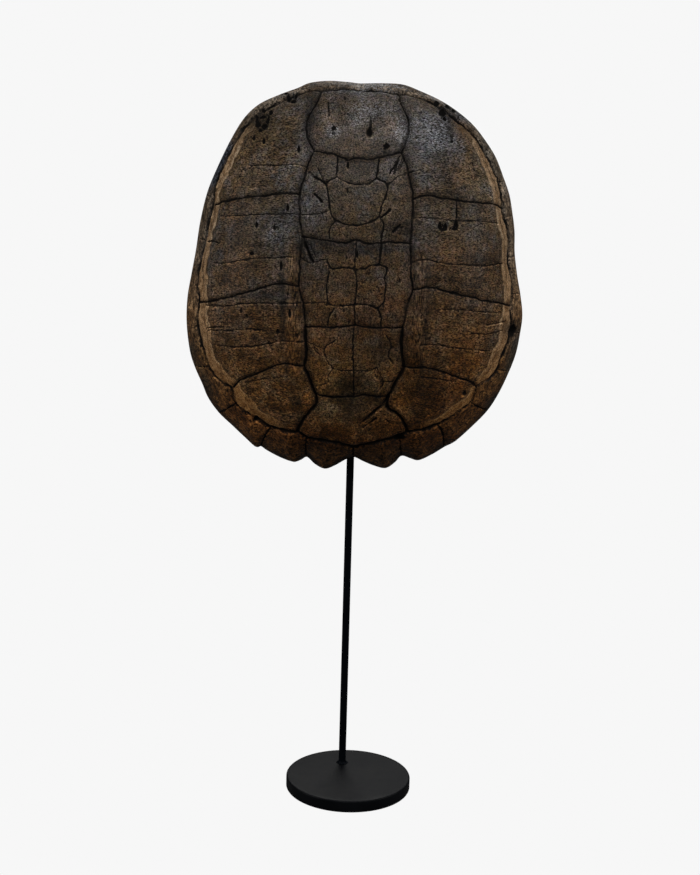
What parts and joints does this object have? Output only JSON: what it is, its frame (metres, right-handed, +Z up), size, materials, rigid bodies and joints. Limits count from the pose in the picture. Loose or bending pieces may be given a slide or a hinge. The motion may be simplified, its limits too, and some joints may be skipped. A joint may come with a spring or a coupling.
{
  "type": "turtle shell on a stand",
  "caption": "Domed bony upper shell of a snapping-type turtle, standing upright on a slim black steel rod and a round steel base.",
  "frame": {"origin": "centre of the round base's underside", "axes": "+Z up along the rod, -Y the way the domed outer side of the shell faces, +X to the right of someone facing the dome; the shell's neck end is up"},
  "size_m": [0.34, 0.1406, 0.7216],
  "materials": {
    "bone": "dark varnished bone, satin to glossy",
    "black_steel": "satin black powder coat",
    "screw_steel": "dull zinc plate"
  },
  "bodies": {
    "root": {"carapace": "bone", "rod": "black_steel", "base_disc": "black_steel", "arm": "black_steel", "mount_plate": "black_steel", "screw_upper": "screw_steel", "screw_lower": "screw_steel"}
  },
  "joints": []
}
